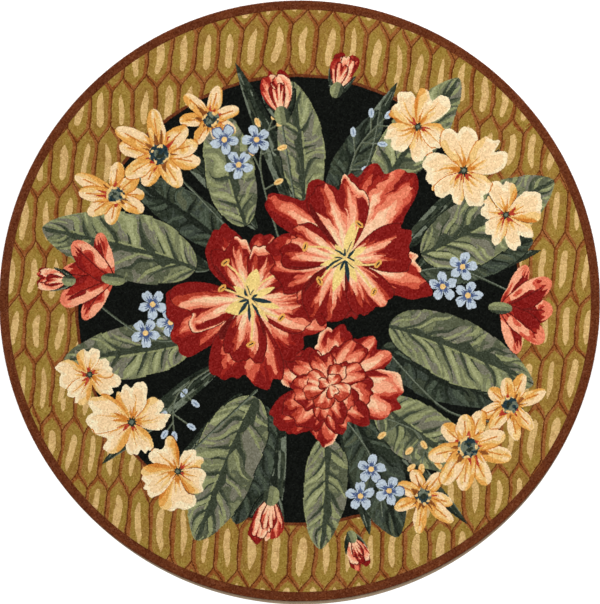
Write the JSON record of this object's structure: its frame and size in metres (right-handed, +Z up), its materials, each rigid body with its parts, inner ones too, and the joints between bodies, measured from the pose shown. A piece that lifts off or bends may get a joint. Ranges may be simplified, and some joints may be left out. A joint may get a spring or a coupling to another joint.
{
  "type": "round rug",
  "caption": "Round hooked rug, lying flat: a disc of looped wool pile with a rounded rim, on a thin canvas backing with a turned hem.",
  "frame": {"origin": "centre of the pile's circle, on the underside that lies on the floor", "axes": "+Z up out of the pile; +Y towards the top of the design, +X to its right"},
  "size_m": [1.68, 1.6874, 0.01],
  "materials": {
    "canvas": "plain undyed cotton canvas, matte",
    "pile": "hooked wool loops of many dyed yarns, matte",
    "rim": "hooked wool loops, rust-brown, matte"
  },
  "bodies": {
    "root": {"canvas_backing": "canvas", "wool_pile": "pile", "rim_rows": "rim"}
  },
  "joints": []
}
